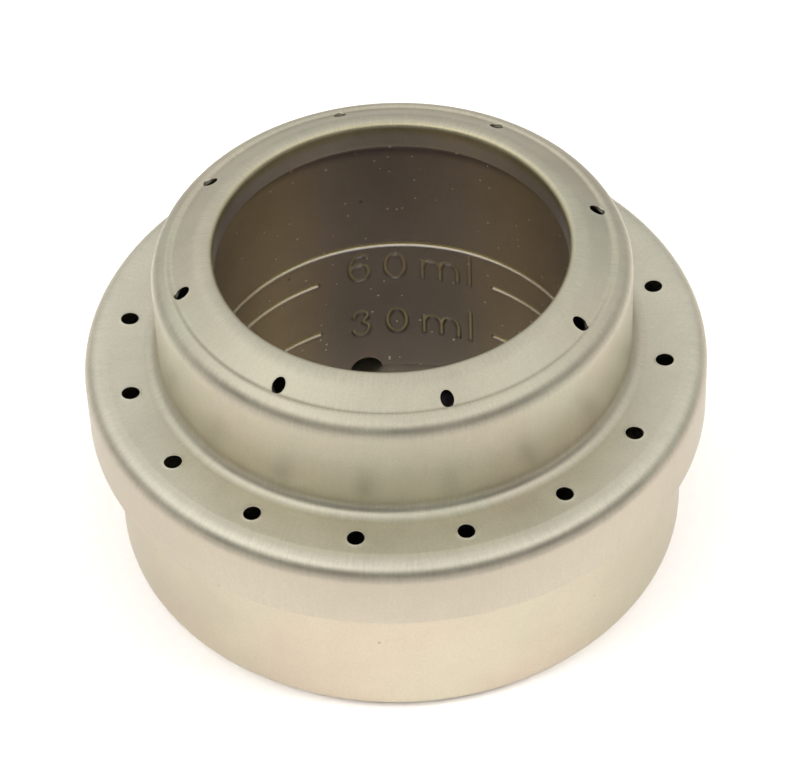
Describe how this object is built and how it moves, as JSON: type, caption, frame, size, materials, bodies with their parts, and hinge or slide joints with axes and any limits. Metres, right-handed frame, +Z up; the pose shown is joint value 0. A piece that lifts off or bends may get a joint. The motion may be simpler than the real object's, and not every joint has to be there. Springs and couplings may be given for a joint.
{
  "type": "alcohol burner",
  "caption": "Open-bowl double-wall spirit burner in thin metal: stepped head with two rings of jets pressed over a plain round cup, with fill marks pressed into the bowl's face.",
  "frame": {"origin": "centre of the underside of the foot", "axes": "+Z up along the axis of the round body; +X to the right as seen from the front, +Y to the back, where the fill figures are"},
  "size_m": [0.071, 0.071, 0.0416],
  "materials": {
    "cup_titanium": "satin bead-blasted titanium",
    "head_titanium": "satin bead-blasted titanium with a faint radial grain",
    "bowl_titanium": "satin titanium, darker inside the bowl"
  },
  "bodies": {
    "root": {"base_cup": "cup_titanium", "burner_head": "head_titanium", "inner_wall": "bowl_titanium"}
  },
  "joints": []
}
